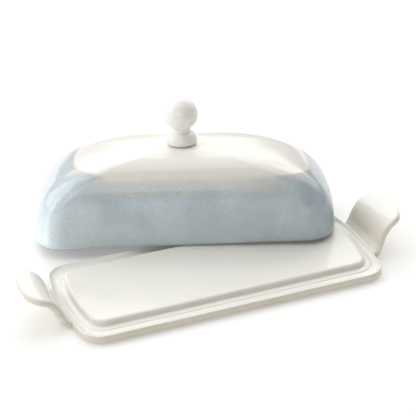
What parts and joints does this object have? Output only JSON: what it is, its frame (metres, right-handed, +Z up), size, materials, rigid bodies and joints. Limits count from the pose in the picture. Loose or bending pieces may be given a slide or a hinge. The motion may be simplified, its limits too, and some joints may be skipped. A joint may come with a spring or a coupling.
{
  "type": "butter dish",
  "caption": "Glazed ceramic butter dish: long cream tray with a raised middle and upturned end handles, and a loose blue-grey loaf-shaped lid with a cream top and ball knob.",
  "frame": {"origin": "centre of the tray's flat foot, on the table", "axes": "+Z up from the table, +X along the tray's length towards the right handle, +Y towards the side where the lid lies"},
  "size_m": [0.2494, 0.1681, 0.0929],
  "materials": {
    "cream_glaze": "gloss",
    "blue_grey_glaze": "gloss",
    "knob_glaze": "gloss"
  },
  "bodies": {
    "tray": {"tray": "cream_glaze", "handle_left": "cream_glaze", "handle_right": "cream_glaze"},
    "lid": {"lid_shell": "blue_grey_glaze", "lid_knob": "knob_glaze"}
  },
  "joints": [
    {"name": "lid_lift", "type": "slide", "parent": "tray", "child": "lid", "axis": [0, 0, 1], "range_m": [0, 0.12]}
  ]
}
